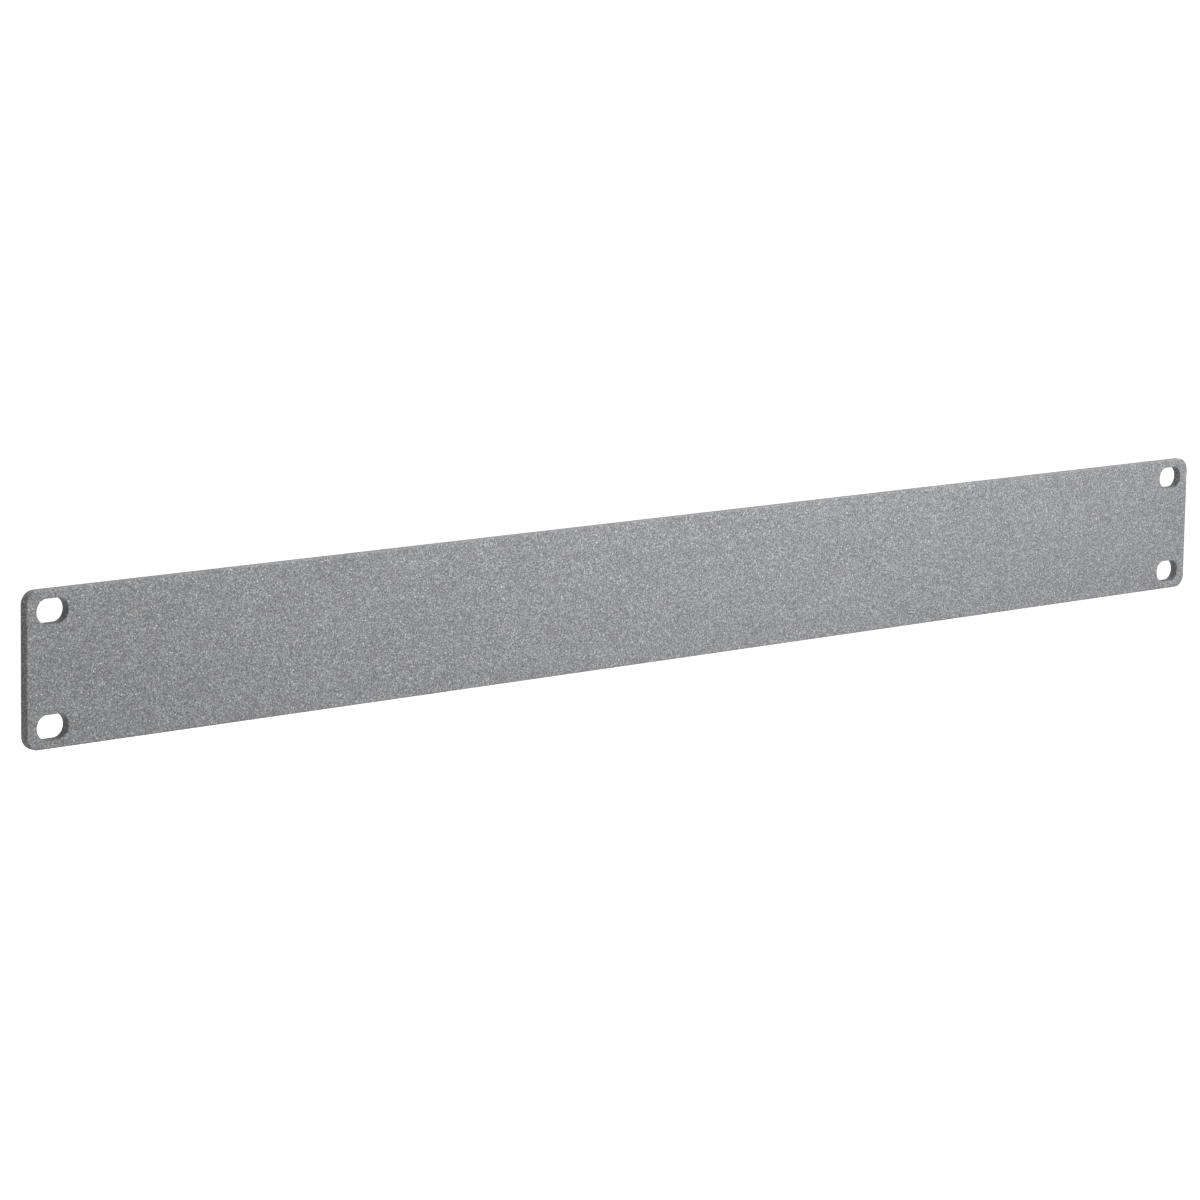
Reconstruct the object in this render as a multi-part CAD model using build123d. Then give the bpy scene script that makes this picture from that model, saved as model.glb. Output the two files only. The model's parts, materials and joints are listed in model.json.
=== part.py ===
from build123d import *

import os

# A blanking panel that closes one empty rack unit of a 19 inch equipment rack.
# It is one flat plate of 3 mm sheet with four round-ended slots, cut, deburred and powder
# coated all over. Millimetres, +X to the right seen from the front, +Z up.
# The front faces -Y. The back face lies in the plane Y = 0, where the rack's rails meet it,
# and the origin is the centre of that face.

# The rack that the panel fits. The holes in a rail stand in threes, one three to each rack unit,
# and a screw goes into the outer holes of a three.
RAIL_HOLE_SPACING_ACROSS = 465.1
RACK_UNIT_HEIGHT = 44.45
HOLE_STEP_FROM_UNIT_TO_UNIT = 12.7

# The plate
SLOT_CENTRE_TO_PANEL_END = 8.75
GAP_TO_NEXT_PANEL = 0.75
PLATE_THICKNESS = 3.0
CORNER_RADIUS = 4.0

# The four slots, each longer across the panel than up it
SLOT_LENGTH = 10.5
SLOT_HEIGHT = 6.8

# The round that deburring and the coat's own film leave on each edge
OUTER_EDGE_ROUND = 0.5
SLOT_EDGE_ROUND = 0.35

# What follows from the sizes above: 482.6 and 43.7 for the plate, 31.75 for the slots
PANEL_WIDTH = RAIL_HOLE_SPACING_ACROSS + 2 * SLOT_CENTRE_TO_PANEL_END
PANEL_HEIGHT = RACK_UNIT_HEIGHT - GAP_TO_NEXT_PANEL
RAIL_HOLE_SPACING_UP = RACK_UNIT_HEIGHT - HOLE_STEP_FROM_UNIT_TO_UNIT


def front_plane():
    """The plane of the front face, with its X to the right and its Y up, facing the viewer."""
    return Plane.XZ.offset(PLATE_THICKNESS)


def plate_outline():
    """The plate's outline, a rectangle with four round corners."""
    return RectangleRounded(PANEL_WIDTH, PANEL_HEIGHT, CORNER_RADIUS)


def slot_centres():
    """The places of the four slots, one over each outer hole of a rack unit's rails."""
    return GridLocations(RAIL_HOLE_SPACING_ACROSS, RAIL_HOLE_SPACING_UP, 2, 2)


def slot_outlines():
    """The four slots' outlines, each with two half-round ends."""
    return slot_centres() * SlotOverall(SLOT_LENGTH, SLOT_HEIGHT)


def cut_plate():
    """The plate as it is cut from sheet, with sharp edges."""
    profile = front_plane() * (plate_outline() - slot_outlines())
    return extrude(profile, amount=-PLATE_THICKNESS)


def face_edges(plate, side, of_slots):
    """The edges round the slots, or round the plate itself, in the plate's front or back face."""
    face = plate.faces().sort_by(Axis.Y)[side]
    if of_slots:
        return face.inner_wires().edges()
    return face.outer_wire().edges()


def round_edges(plate):
    """The plate with its outline and its slots rounded on both faces."""
    for side in (0, -1):
        plate = fillet(face_edges(plate, side, of_slots=False), OUTER_EDGE_ROUND)
        plate = fillet(face_edges(plate, side, of_slots=True), SLOT_EDGE_ROUND)
    return plate


def panel():
    """The finished panel, one solid."""
    return round_edges(cut_plate())


os.makedirs("parts", exist_ok=True)
export_step(panel(), "parts/panel.step")
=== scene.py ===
"""The looks of a one-unit rack blanking panel: its coated plate, its light and its camera.

Everything is in metres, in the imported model's own frame: +X along the panel, +Y out of its
back face, +Z up. The front faces -Y, and the origin is the centre of the back face.
"""

from __future__ import annotations

import json
import logging
import math
from collections.abc import Callable, Iterable
from dataclasses import dataclass, field
from enum import Enum

import bmesh
import bpy
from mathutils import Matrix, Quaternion, Vector

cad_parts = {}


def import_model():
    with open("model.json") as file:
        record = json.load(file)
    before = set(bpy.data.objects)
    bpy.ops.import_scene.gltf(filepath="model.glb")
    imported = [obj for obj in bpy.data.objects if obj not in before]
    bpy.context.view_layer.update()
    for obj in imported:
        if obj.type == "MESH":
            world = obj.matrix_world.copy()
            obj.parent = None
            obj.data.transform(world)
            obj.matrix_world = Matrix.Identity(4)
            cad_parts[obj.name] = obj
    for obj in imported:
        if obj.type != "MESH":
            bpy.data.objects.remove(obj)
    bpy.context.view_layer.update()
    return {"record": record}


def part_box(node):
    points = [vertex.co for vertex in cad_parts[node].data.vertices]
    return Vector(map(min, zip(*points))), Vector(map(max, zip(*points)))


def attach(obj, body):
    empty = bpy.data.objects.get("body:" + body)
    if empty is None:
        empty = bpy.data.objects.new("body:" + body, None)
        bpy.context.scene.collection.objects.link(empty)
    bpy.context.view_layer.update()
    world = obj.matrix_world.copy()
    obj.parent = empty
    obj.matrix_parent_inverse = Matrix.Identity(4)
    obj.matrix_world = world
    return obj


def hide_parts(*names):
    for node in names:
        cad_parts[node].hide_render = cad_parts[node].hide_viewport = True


log = logging.getLogger("blanking_panel")

MM = 0.001
WHITE = (1.0, 1.0, 1.0, 1.0)

# How far from its exact place a part of the mesh may lie and still be found by that place.
SLACK = 0.1 * MM
# Vertices that lie closer together than this become one.
WELD = 0.0001 * MM
# A face counts as front or back if its unit normal has at least this much Y.
FACING = 0.9

# A Mix node has sockets of the same names for every kind of value, so those for colours are
# found by number.
MIX_COLOUR_INPUTS = (6, 7)
MIX_COLOUR_OUTPUT = 2


class Axis(Enum):
    """The two directions in which the plate is cut into cells."""

    ACROSS = Vector((1.0, 0.0, 0.0))
    UP = Vector((0.0, 0.0, 1.0))


class Rim(Enum):
    """The two kinds of edge that deburring and the coat leave rounded."""

    OUTLINE = "outline"
    SLOTS = "slots"


def deselect_everything() -> None:
    """Leave object mode with no object selected."""
    if bpy.context.object and bpy.context.object.mode != "OBJECT":
        bpy.ops.object.mode_set(mode="OBJECT")
    bpy.ops.object.select_all(action="DESELECT")


def select_only(piece: bpy.types.Object) -> None:
    """Make one object the only selected one, and the active one.

    Args:
        piece: The object that the next operators work on.
    """
    deselect_everything()
    piece.select_set(True)
    bpy.context.view_layer.objects.active = piece


def select_parts(kind: str, wanted: Callable[..., bool]) -> int:
    """Select vertices, edges or faces of the mesh in edit mode by a test.

    Args:
        kind: "VERT", "EDGE" or "FACE".
        wanted: Says of one vertex, edge or face whether it is selected.

    Returns:
        How many are selected.
    """
    bpy.ops.mesh.select_mode(type=kind)
    bpy.ops.mesh.select_all(action="DESELECT")
    mesh = bpy.context.object.data
    shape = bmesh.from_edit_mesh(mesh)
    parts = {"VERT": shape.verts, "EDGE": shape.edges, "FACE": shape.faces}[kind]
    chosen = [part for part in parts if wanted(part)]
    for part in chosen:
        part.select_set(True)
    bmesh.update_edit_mesh(mesh)
    return len(chosen)


@dataclass(frozen=True)
class Sockets:
    """The named inputs and outputs of a shader node group, each with its socket type."""

    inputs: dict[str, str]
    outputs: dict[str, str]


class NodeSheet:
    """A node tree with short ways to add nodes and join them."""

    def __init__(self, tree: bpy.types.NodeTree) -> None:
        """Hold the tree.

        Args:
            tree: The node tree that the nodes go into.
        """
        self.tree = tree

    @classmethod
    def group(cls, name: str, sockets: Sockets) -> "NodeSheet":
        """Start an empty node group with its sockets.

        Args:
            name: The group's name.
            sockets: Its inputs and outputs.

        Returns:
            The sheet of the new group.
        """
        tree = bpy.data.node_groups.new(name, "ShaderNodeTree")
        for label, kind in sockets.inputs.items():
            tree.interface.new_socket(label, in_out="INPUT", socket_type=kind)
        for label, kind in sockets.outputs.items():
            tree.interface.new_socket(label, in_out="OUTPUT", socket_type=kind)
        return cls(tree)

    def add(
        self,
        kind: str,
        settings: dict[str, object] | None = None,
        **inputs: object,
    ) -> bpy.types.Node:
        """Add a node and fill its inputs.

        Args:
            kind: The node's type.
            settings: Values for the node's own properties.
            inputs: A number, a colour or another node's output for each named input, where
                an underscore stands for a space.

        Returns:
            The new node.
        """
        node = self.tree.nodes.new(kind)
        for label, value in (settings or {}).items():
            setattr(node, label, value)
        for label, value in inputs.items():
            self.feed(node.inputs[label.replace("_", " ")], value)
        return node

    def feed(self, socket: bpy.types.NodeSocket, value: object) -> None:
        """Give an input a value, or join it to an output.

        Args:
            socket: The input.
            value: A number, a colour, or another node's output.
        """
        if isinstance(value, bpy.types.NodeSocket):
            self.tree.links.new(value, socket)
        else:
            socket.default_value = value

    def math(self, operation: str, first: object, second: object) -> bpy.types.NodeSocket:
        """Work out one number from two others.

        Args:
            operation: The Math node's operation.
            first: A number or an output.
            second: A number or an output.

        Returns:
            The result.
        """
        node = self.add("ShaderNodeMath", {"operation": operation})
        self.feed(node.inputs[0], first)
        self.feed(node.inputs[1], second)
        return node.outputs[0]

    def remap(
        self,
        value: object,
        source: tuple[float, float],
        target: tuple[float, float],
    ) -> bpy.types.NodeSocket:
        """Carry a value from one range to another, with its ends held.

        Args:
            value: An output.
            source: The range that it comes from.
            target: The range that it goes to.

        Returns:
            The value in the new range.
        """
        node = self.add("ShaderNodeMapRange", {"clamp": True}, Value=value)
        limits = (*source, *target)
        for label, limit in zip(("From Min", "From Max", "To Min", "To Max"), limits):
            node.inputs[label].default_value = limit
        return node.outputs["Result"]

    def scaled_place(self, place: object, size: object) -> bpy.types.NodeSocket:
        """Divide a place by a size, so that one step of a pattern is that size.

        Args:
            place: The output that gives the place.
            size: The size in metres, a number or an output.

        Returns:
            The place in steps of the pattern.
        """
        steps = self.math("DIVIDE", 1.0, size)
        node = self.add("ShaderNodeVectorMath", {"operation": "SCALE"}, Scale=steps)
        self.feed(node.inputs[0], place)
        return node.outputs["Vector"]

    def mix_colours(self, share: object, first: object, second: object) -> bpy.types.NodeSocket:
        """Mix two colours.

        Args:
            share: How much of the second colour shows, from 0 to 1.
            first: A colour or an output.
            second: A colour or an output.

        Returns:
            The mixed colour.
        """
        node = self.add("ShaderNodeMix", {"data_type": "RGBA"}, Factor=share)
        for index, colour in zip(MIX_COLOUR_INPUTS, (first, second)):
            self.feed(node.inputs[index], colour)
        return node.outputs[MIX_COLOUR_OUTPUT]


@dataclass(frozen=True)
class PowderGrain:
    """The fine relief and the light and dark speckle of a textured powder coat.

    Each grain is a low dome with a tone of its own, and soft clumps of grains rise and fall
    together. A clump is some two grains wide.
    """

    name: str = "Powder grain"
    clump_scale: float = 0.55
    clump_detail: float = 2.0
    clump_middle: float = 0.5
    clump_height: float = 0.4
    tone_power: float = 2.0
    dome_radius: float = 0.8
    dome_height: float = 0.6

    @property
    def mean_tone(self) -> float:
        """The mean over all grains of an even chance from 0 to 1 raised to the tone's power."""
        return 1.0 / (self.tone_power + 1.0)

    def build(self) -> bpy.types.NodeTree:
        """Build the group.

        Returns:
            A group that gives a shade about 1 and a height from 0 to 1.
        """
        sockets = Sockets(
            {"Place": "NodeSocketVector", "Size": "NodeSocketFloat", "Contrast": "NodeSocketFloat"},
            {"Shade": "NodeSocketFloat", "Height": "NodeSocketFloat"},
        )
        sheet = NodeSheet.group(self.name, sockets)
        given = sheet.add("NodeGroupInput").outputs
        place = sheet.scaled_place(given["Place"], given["Size"])
        grains = sheet.add("ShaderNodeTexVoronoi", {"feature": "F1"}, Vector=place, Scale=1.0)
        clumps = sheet.add(
            "ShaderNodeTexNoise",
            Vector=place,
            Scale=self.clump_scale,
            Detail=self.clump_detail,
        )
        chance = sheet.add("ShaderNodeSeparateColor", Color=grains.outputs["Color"]).outputs["Red"]
        tone = sheet.math("POWER", chance, self.tone_power)
        speckle = sheet.math("SUBTRACT", tone, self.mean_tone)
        drift = sheet.math("SUBTRACT", clumps.outputs["Fac"], self.clump_middle)
        mixed = sheet.math("ADD", speckle, drift)
        swing = sheet.math("MULTIPLY", mixed, given["Contrast"])
        shade = sheet.math("ADD", swing, 1.0)
        middle_to_edge = (0.0, self.dome_radius)
        dome = sheet.remap(grains.outputs["Distance"], middle_to_edge, (self.dome_height, 0.0))
        rise = sheet.math("MULTIPLY", clumps.outputs["Fac"], self.clump_height)
        relief = sheet.math("ADD", dome, rise)
        sheet.add("NodeGroupOutput", Shade=shade, Height=relief)
        return sheet.tree


@dataclass(frozen=True)
class MetalFlecks:
    """The few small bright flakes of metal that lie in the coat.

    A flake is full out to the first radius of its soft edge, and fades away by the second.
    """

    name: str = "Metal flecks"
    soft_edge: tuple[float, float] = (0.2, 0.45)
    least_strength: float = 0.2

    def build(self) -> bpy.types.NodeTree:
        """Build the group.

        Returns:
            A group that gives the flakes as a mask, with a different strength for each, and
            a tint for each from 0 for cool to 1 for warm.
        """
        sockets = Sockets(
            {"Place": "NodeSocketVector", "Size": "NodeSocketFloat", "Share": "NodeSocketFloat"},
            {"Mask": "NodeSocketFloat", "Warmth": "NodeSocketFloat"},
        )
        sheet = NodeSheet.group(self.name, sockets)
        given = sheet.add("NodeGroupInput").outputs
        place = sheet.scaled_place(given["Place"], given["Size"])
        cells = sheet.add("ShaderNodeTexVoronoi", {"feature": "F1"}, Vector=place, Scale=1.0)
        chance = sheet.add("ShaderNodeSeparateColor", Color=cells.outputs["Color"]).outputs
        present = sheet.math("LESS_THAN", chance["Red"], given["Share"])
        spot = sheet.remap(cells.outputs["Distance"], self.soft_edge, (1.0, 0.0))
        strength = sheet.remap(chance["Green"], (0.0, 1.0), (self.least_strength, 1.0))
        mask = sheet.math("MULTIPLY", sheet.math("MULTIPLY", present, spot), strength)
        sheet.add("NodeGroupOutput", Mask=mask, Warmth=chance["Blue"])
        return sheet.tree


@dataclass(frozen=True)
class PowderCoat:
    """Grey metallic powder coat with a fine texture.

    Its low places have the first roughness and its high ones the second. The body's colour
    swings a little in soft patches, and a flake takes some roughness away and adds some metal.
    """

    slot: str = "powder_coat"
    body: tuple[float, float, float] = (0.275, 0.279, 0.286)
    cool_fleck: tuple[float, float, float] = (0.72, 0.78, 0.88)
    warm_fleck: tuple[float, float, float] = (0.84, 0.81, 0.76)
    grain_size: float = 0.28 * MM
    grain_contrast: float = 1.15
    grain_depth: float = 0.035 * MM
    fleck_size: float = 0.60 * MM
    fleck_share: float = 0.16
    patch_size: float = 14.0 * MM
    patch_detail: float = 2.0
    patch_levels: tuple[float, float] = (0.3, 0.7)
    patch_swing: float = 0.03
    low_and_high: tuple[float, float] = (0.2, 0.8)
    roughness: tuple[float, float] = (0.64, 0.80)
    fleck_gloss: float = 0.05
    fleck_metal: float = 0.30

    def material(self) -> bpy.types.Material:
        """Build the coat's material.

        Returns:
            The material, which reads its pattern from the place on the panel.
        """
        material = bpy.data.materials.new(self.slot)
        material.use_nodes = True
        sheet = NodeSheet(material.node_tree)
        sheet.tree.nodes.clear()
        place = sheet.add("ShaderNodeTexCoord").outputs["Object"]
        grain = self._grain(sheet, place)
        flecks = self._flecks(sheet, place)
        colour = self._colour(sheet, place, grain, flecks)
        matt = sheet.remap(grain.outputs["Height"], self.low_and_high, self.roughness)
        gloss = sheet.math("MULTIPLY", flecks.outputs["Mask"], self.fleck_gloss)
        metal = sheet.math("MULTIPLY", flecks.outputs["Mask"], self.fleck_metal)
        bump = sheet.add(
            "ShaderNodeBump",
            Height=grain.outputs["Height"],
            Distance=self.grain_depth,
        )
        coat = sheet.add(
            "ShaderNodeBsdfPrincipled",
            Base_Color=colour,
            Roughness=sheet.math("SUBTRACT", matt, gloss),
            Metallic=metal,
            Normal=bump.outputs["Normal"],
        )
        sheet.add("ShaderNodeOutputMaterial", Surface=coat.outputs["BSDF"])
        return material

    def _grain(self, sheet: NodeSheet, place: bpy.types.NodeSocket) -> bpy.types.Node:
        """Place the grain group with this coat's values.

        Args:
            sheet: The material's nodes.
            place: The place on the panel.

        Returns:
            The group's node.
        """
        tree = PowderGrain().build()
        values = {"Place": place, "Size": self.grain_size, "Contrast": self.grain_contrast}
        return sheet.add("ShaderNodeGroup", {"node_tree": tree}, **values)

    def _flecks(self, sheet: NodeSheet, place: bpy.types.NodeSocket) -> bpy.types.Node:
        """Place the fleck group with this coat's values.

        Args:
            sheet: The material's nodes.
            place: The place on the panel.

        Returns:
            The group's node.
        """
        tree = MetalFlecks().build()
        values = {"Place": place, "Size": self.fleck_size, "Share": self.fleck_share}
        return sheet.add("ShaderNodeGroup", {"node_tree": tree}, **values)

    def _colour(
        self,
        sheet: NodeSheet,
        place: bpy.types.NodeSocket,
        grain: bpy.types.Node,
        flecks: bpy.types.Node,
    ) -> bpy.types.NodeSocket:
        """Mix the body colour, its speckle, its soft patches and the flecks.

        Args:
            sheet: The material's nodes.
            place: The place on the panel.
            grain: The grain group's node.
            flecks: The fleck group's node.

        Returns:
            The coat's colour.
        """
        patches = sheet.add(
            "ShaderNodeTexNoise",
            Vector=sheet.scaled_place(place, self.patch_size),
            Scale=1.0,
            Detail=self.patch_detail,
        )
        swing = (1.0 - self.patch_swing, 1.0 + self.patch_swing)
        patch = sheet.remap(patches.outputs["Fac"], self.patch_levels, swing)
        shade = sheet.math("MULTIPLY", grain.outputs["Shade"], patch)
        body = sheet.add("ShaderNodeVectorMath", {"operation": "SCALE"}, Scale=shade)
        sheet.feed(body.inputs[0], self.body)
        cool, warm = (*self.cool_fleck, 1.0), (*self.warm_fleck, 1.0)
        tint = sheet.mix_colours(flecks.outputs["Warmth"], cool, warm)
        return sheet.mix_colours(flecks.outputs["Mask"], body.outputs["Vector"], tint)


@dataclass
class BlankingPanel:
    """The flat plate with a round-ended slot near each corner."""

    width: float
    height: float
    thickness: float
    slot_spacing_across: float
    slot_spacing_up: float
    slot_length: float
    slot_height: float
    finish: PowderCoat = field(default_factory=PowderCoat)
    corner_radius: float = 4.0 * MM
    outline_round: float = 0.5 * MM
    slot_round: float = 0.35 * MM
    corner_steps: int = 16
    slot_end_steps: int = 32
    round_steps: int = 6
    plain_cells: int = 12
    name: str = "blanking_panel"

    @classmethod
    def from_frame(cls, record: dict) -> "BlankingPanel":
        """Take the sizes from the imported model.

        Args:
            record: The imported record, whose bolt pattern gives the slots.

        Returns:
            The panel, not built yet.
        """
        low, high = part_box("panel")
        pattern = next(m["dims"] for m in record["mounts"] if m["kind"] == "bolt_pattern")
        return cls(
            width=high.x - low.x,
            height=high.z - low.z,
            thickness=high.y - low.y,
            slot_spacing_across=pattern["spacing_x_mm"] * MM,
            slot_spacing_up=pattern["spacing_y_mm"] * MM,
            slot_length=pattern["slot_length_mm"] * MM,
            slot_height=2 * pattern["hole_r_mm"] * MM,
        )

    @property
    def front(self) -> float:
        """The Y of the front face. The back face lies at Y = 0."""
        return -self.thickness

    @property
    def slot_places(self) -> list[tuple[float, float]]:
        """The X and Z of each slot's centre."""
        across = self.slot_spacing_across / 2
        up = self.slot_spacing_up / 2
        return [(x, z) for x in (-across, across) for z in (-up, up)]

    def build(self) -> bpy.types.Object:
        """Model the panel, dress it and set it on the CAD body.

        Returns:
            The finished piece.
        """
        piece = self._plate()
        self._cut_into_cells()
        self._round_corners()
        self._cut_slots(piece)
        # The same cuts again carry the cells' edges down the walls of the slots.
        self._cut_into_cells()
        self._round_rim(piece, Rim.OUTLINE, self.outline_round)
        self._round_rim(piece, Rim.SLOTS, self.slot_round)
        self._smooth(piece)
        piece.data.materials.append(self.finish.material())
        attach(piece, "root")
        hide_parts("panel")
        return piece

    def _plate(self) -> bpy.types.Object:
        """Add the plate as a plain box at its size and place.

        Returns:
            The box, in object mode.
        """
        deselect_everything()
        bpy.ops.mesh.primitive_cube_add(size=1.0, location=(0.0, self.front / 2, 0.0))
        piece = bpy.context.object
        piece.name = self.name
        piece.data.name = self.name
        piece.scale = (self.width, self.thickness, self.height)
        bpy.ops.object.transform_apply(location=True, rotation=False, scale=True)
        return piece

    def _cut_into_cells(self) -> None:
        """Cut the plate across and along, so that each slot is centred where four cells meet."""
        across = self.slot_spacing_across / 2
        up = self.slot_spacing_up / 2
        # These cuts lie as far inside the slots' centres as the plate's edges lie outside them.
        inner_across = 2 * across - self.width / 2
        inner_up = 2 * up - self.height / 2
        step = 2 * inner_across / self.plain_cells
        plain = [-inner_across + i * step for i in range(self.plain_cells + 1)]
        bpy.ops.object.mode_set(mode="EDIT")
        for x in (-across, *plain, across):
            self._bisect(Axis.ACROSS, x)
        for z in (-up, -inner_up, inner_up, up):
            self._bisect(Axis.UP, z)
        bpy.ops.object.mode_set(mode="OBJECT")

    @staticmethod
    def _bisect(axis: Axis, place: float) -> None:
        """Cut the whole mesh along a plane and keep both sides.

        Args:
            axis: The direction that the plane faces.
            place: Where the plane stands on that axis.
        """
        bpy.ops.mesh.select_all(action="SELECT")
        bpy.ops.mesh.bisect(plane_co=axis.value * place, plane_no=axis.value)

    def _round_corners(self) -> None:
        """Round the four corners of the plate's outline."""
        corner = Vector((self.width / 2, self.height / 2))

        def at_corner(edge: bmesh.types.BMEdge) -> bool:
            """Say whether an edge runs through the plate at one of its corners."""
            return all(
                (Vector((abs(v.co.x), abs(v.co.z))) - corner).length < SLACK for v in edge.verts
            )

        bpy.ops.object.mode_set(mode="EDIT")
        count = select_parts("EDGE", at_corner)
        log.info("corners to round: %d", count)
        self._bevel_edges(self.corner_radius, self.corner_steps)
        bpy.ops.object.mode_set(mode="OBJECT")

    @staticmethod
    def _bevel_edges(radius: float, steps: int) -> None:
        """Round the selected edges.

        Args:
            radius: The radius of the round.
            steps: How many flat strips make the round.
        """
        bpy.ops.mesh.bevel(offset=radius, segments=steps, affect="EDGES", clamp_overlap=False)

    def _slot_tool(self) -> bpy.types.Object:
        """Make the round-ended block that cuts one slot.

        Returns:
            The block, centred on the middle of the plate.
        """
        # The block stands out of each face by a thickness, so that it cuts right through.
        depth = self.thickness + 2 * self.thickness
        deselect_everything()
        bpy.ops.mesh.primitive_cylinder_add(
            vertices=2 * self.slot_end_steps,
            radius=self.slot_height / 2,
            depth=depth,
            rotation=(math.radians(90), 0.0, 0.0),
        )
        tool = bpy.context.object
        tool.name = "slot_tool"
        bpy.ops.object.transform_apply(location=False, rotation=True, scale=False)
        bpy.ops.object.mode_set(mode="EDIT")
        # Half a step of turn leaves no vertex on the middle plane, where the block is parted.
        half_step = math.pi / (2 * self.slot_end_steps)
        bpy.ops.mesh.select_all(action="SELECT")
        bpy.ops.transform.rotate(value=half_step, orient_axis="Y", center_override=(0.0, 0.0, 0.0))
        reach = (self.slot_length - self.slot_height) / 2
        for side in (-1, 1):
            select_parts("VERT", lambda vertex, side=side: vertex.co.x * side > 0)
            bpy.ops.transform.translate(value=(side * reach, 0.0, 0.0))
        bpy.ops.mesh.select_all(action="SELECT")
        bpy.ops.transform.translate(value=(0.0, self.front / 2, 0.0))
        bpy.ops.object.mode_set(mode="OBJECT")
        return tool

    def _cut_slots(self, piece: bpy.types.Object) -> None:
        """Cut the four slots out of the plate.

        Args:
            piece: The plate.
        """
        tool = self._slot_tool()
        for x, z in self.slot_places:
            tool.location = (x, 0.0, z)
            select_only(piece)
            cut = piece.modifiers.new("slot", "BOOLEAN")
            cut.operation = "DIFFERENCE"
            cut.solver = "EXACT"
            cut.object = tool
            bpy.ops.object.modifier_apply(modifier=cut.name)
        bpy.data.objects.remove(tool)

    def _round_rim(self, piece: bpy.types.Object, rim: Rim, radius: float) -> None:
        """Round the edges of one kind in the front and the back face.

        Args:
            piece: The plate.
            rim: The plate's own outline, or the slots'.
            radius: The radius of the round.
        """
        select_only(piece)
        bpy.ops.object.mode_set(mode="EDIT")
        count = select_parts("EDGE", lambda edge: self._is_rim(edge, rim))
        log.info("edges in the %s rims: %d", rim.value, count)
        self._bevel_edges(radius, self.round_steps)
        bpy.ops.object.mode_set(mode="OBJECT")

    def _is_rim(self, edge: bmesh.types.BMEdge, rim: Rim) -> bool:
        """Say whether an edge is a sharp one of a kind.

        Args:
            edge: An edge of the plate.
            rim: The kind that is asked for.

        Returns:
            True if the edge joins the front or back face to a wall of that kind.
        """
        if len(edge.link_faces) != 2:
            return False
        first, second = (abs(face.normal.y) > FACING for face in edge.link_faces)
        if first == second:
            return False
        middle = (edge.verts[0].co + edge.verts[1].co) / 2
        half_length = self.slot_length / 2 + SLACK
        half_height = self.slot_height / 2 + SLACK
        in_slot = any(
            abs(middle.x - x) < half_length and abs(middle.z - z) < half_height
            for x, z in self.slot_places
        )
        return in_slot == (rim is Rim.SLOTS)

    @staticmethod
    def _smooth(piece: bpy.types.Object) -> None:
        """Close the mesh and shade it, with the flat faces kept flat.

        Args:
            piece: The plate.
        """
        bpy.ops.object.mode_set(mode="EDIT")
        bpy.ops.mesh.select_all(action="SELECT")
        bpy.ops.mesh.remove_doubles(threshold=WELD)
        bpy.ops.mesh.normals_make_consistent(inside=False)
        bpy.ops.object.mode_set(mode="OBJECT")
        bpy.ops.object.shade_smooth()
        largest_weight = 100
        weighted = piece.modifiers.new("flat faces stay flat", "WEIGHTED_NORMAL")
        weighted.weight = largest_weight
        bpy.ops.object.modifier_apply(modifier=weighted.name)


@dataclass(frozen=True)
class SoftBox:
    """A square white studio lamp that stands at a place and faces a point.

    The camera doesn't see it. A lamp that faces a point away from the panel lights the panel
    only with the side of its beam.
    """

    name: str
    place: tuple[float, float, float]
    aim: tuple[float, float, float]
    side: float
    watts: float

    def build(self) -> bpy.types.Object:
        """Add the lamp.

        Returns:
            The lamp's object.
        """
        lamp = bpy.data.lights.new(self.name, "AREA")
        lamp.shape = "SQUARE"
        lamp.size = self.side
        lamp.energy = self.watts
        holder = bpy.data.objects.new(self.name, lamp)
        holder.location = self.place
        look = Vector(self.aim) - Vector(self.place)
        holder.rotation_euler = look.to_track_quat("-Z", "Y").to_euler()
        holder.visible_camera = False
        bpy.context.scene.collection.objects.link(holder)
        return holder


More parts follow.
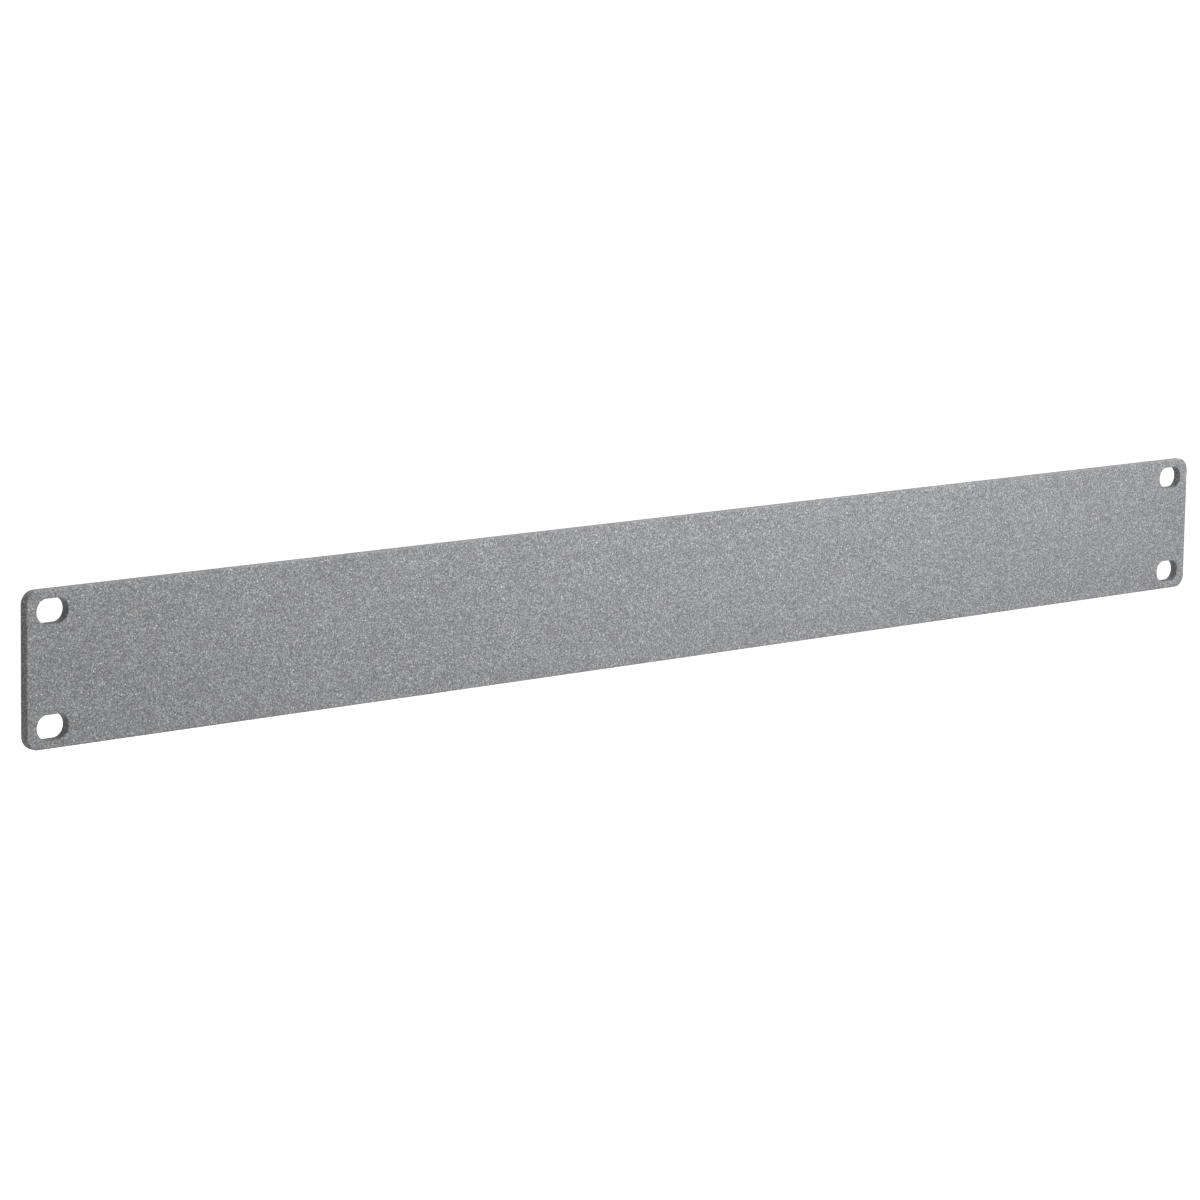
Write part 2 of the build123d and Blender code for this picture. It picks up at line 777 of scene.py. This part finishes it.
@dataclass(frozen=True)
class Studio:
    """A plain white room: a pale floor under the panel, and soft light from all round.

    The floor glows just enough to show white. Its glow rises from the first value to the second
    between the two distances of lamp_reach, since the lamps light it less further out.
    """

    floor_drop: float = 0.42
    floor_side: float = 60.0
    floor_colour: tuple[float, float, float, float] = (0.6, 0.6, 0.6, 1.0)
    floor_roughness: float = 0.9
    floor_glow: tuple[float, float] = (0.76, 0.95)
    lamp_reach: tuple[float, float] = (0.3, 1.6)
    surround: float = 0.20
    lamps: tuple[SoftBox, ...] = (
        SoftBox("key_lamp", (0.19, -0.62, 0.12), (-0.02, 0.0, 1.20), 0.3, 8.6),
        SoftBox("fill_lamp", (0.0, -2.60, 0.10), (0.0, 0.0, 0.0), 0.6, 3.6),
        SoftBox("top_lamp", (0.30, 0.12, 1.00), (0.0, 0.0, 0.0), 0.3, 6.6),
        SoftBox("side_lamp", (-2.20, -0.05, 0.05), (0.0, 0.0, 0.0), 0.5, 2.1),
        SoftBox("back_lamp", (0.60, 2.00, -0.20), (0.0, 0.0, 0.0), 0.4, 18.0),
    )

    def build(self) -> None:
        """Add the floor, the surround and the lamps."""
        self._floor()
        self._surround()
        for lamp in self.lamps:
            lamp.build()

    def _floor(self) -> None:
        """Add the floor, which shows white and still takes the panel's shadow."""
        deselect_everything()
        centre = (0.0, 0.0, -self.floor_drop)
        bpy.ops.mesh.primitive_plane_add(size=self.floor_side, location=centre)
        floor = bpy.context.object
        floor.name = "studio_floor"
        bpy.ops.object.transform_apply(location=True, rotation=False, scale=False)
        material = bpy.data.materials.new("pale_floor")
        material.use_nodes = True
        sheet = NodeSheet(material.node_tree)
        sheet.tree.nodes.clear()
        place = sheet.add("ShaderNodeTexCoord").outputs["Object"]
        distance = sheet.add("ShaderNodeVectorMath", {"operation": "LENGTH"})
        sheet.feed(distance.inputs[0], place)
        level = sheet.remap(distance.outputs["Value"], self.lamp_reach, self.floor_glow)
        glow = sheet.math("MULTIPLY", seen_as_background(sheet), level)
        surface = sheet.add(
            "ShaderNodeBsdfPrincipled",
            Base_Color=self.floor_colour,
            Roughness=self.floor_roughness,
            Emission_Color=WHITE,
            Emission_Strength=glow,
        )
        sheet.add("ShaderNodeOutputMaterial", Surface=surface.outputs["BSDF"])
        floor.data.materials.append(material)

    def _surround(self) -> None:
        """Light the scene evenly from all round, and show pure white behind the panel."""
        world = bpy.data.worlds.new("white_surround")
        bpy.context.scene.world = world
        world.use_nodes = True
        sheet = NodeSheet(world.node_tree)
        sheet.tree.nodes.clear()
        seen = seen_as_background(sheet)
        strength = sheet.remap(seen, (0.0, 1.0), (self.surround, 1.0))
        background = sheet.add("ShaderNodeBackground", Color=WHITE, Strength=strength)
        sheet.add("ShaderNodeOutputWorld", Surface=background.outputs["Background"])


def seen_as_background(sheet: NodeSheet) -> bpy.types.NodeSocket:
    """Tell the rays that show a background from those that only light the panel.

    Args:
        sheet: The nodes of a floor or a surround.

    Returns:
        1 for the camera's rays and for mirrored and see-through ones, else 0.
    """
    path = sheet.add("ShaderNodeLightPath").outputs
    shiny = sheet.math("MAXIMUM", path["Is Glossy Ray"], path["Is Transmission Ray"])
    return sheet.math("MAXIMUM", path["Is Camera Ray"], shiny)


@dataclass(frozen=True)
class Camera:
    """A long lens in front of the panel, to its left and a little above it."""

    place: tuple[float, float, float] = (-0.9710, -1.0000, 0.2150)
    aim: tuple[float, float, float] = (-0.0305, -0.0030, -0.0006)
    roll_degrees: float = 0.92
    lens_mm: float = 139.3
    sensor_mm: float = 36.0

    def build(self) -> bpy.types.Object:
        """Add the camera and make it the scene's own.

        Returns:
            The camera's object.
        """
        data = bpy.data.cameras.new("camera")
        data.lens = self.lens_mm
        data.sensor_width = self.sensor_mm
        holder = bpy.data.objects.new("camera", data)
        holder.location = self.place
        look = (Vector(self.aim) - Vector(self.place)).to_track_quat("-Z", "Y")
        camera_axis = Vector((0.0, 0.0, 1.0))
        roll = Quaternion(camera_axis, math.radians(self.roll_degrees))
        holder.rotation_euler = (look @ roll).to_euler()
        bpy.context.scene.collection.objects.link(holder)
        bpy.context.scene.camera = holder
        return holder


def main() -> None:
    """Build the panel, its studio and the camera."""
    logging.basicConfig(level=logging.INFO, format="%(name)s: %(message)s")
    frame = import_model()
    bpy.context.scene.view_settings.view_transform = "Standard"
    Camera().build()
    Studio().build()
    piece = BlankingPanel.from_frame(frame["record"]).build()
    log.info("%s: %d faces", piece.name, len(piece.data.polygons))


if __name__ == "__main__":
    main()
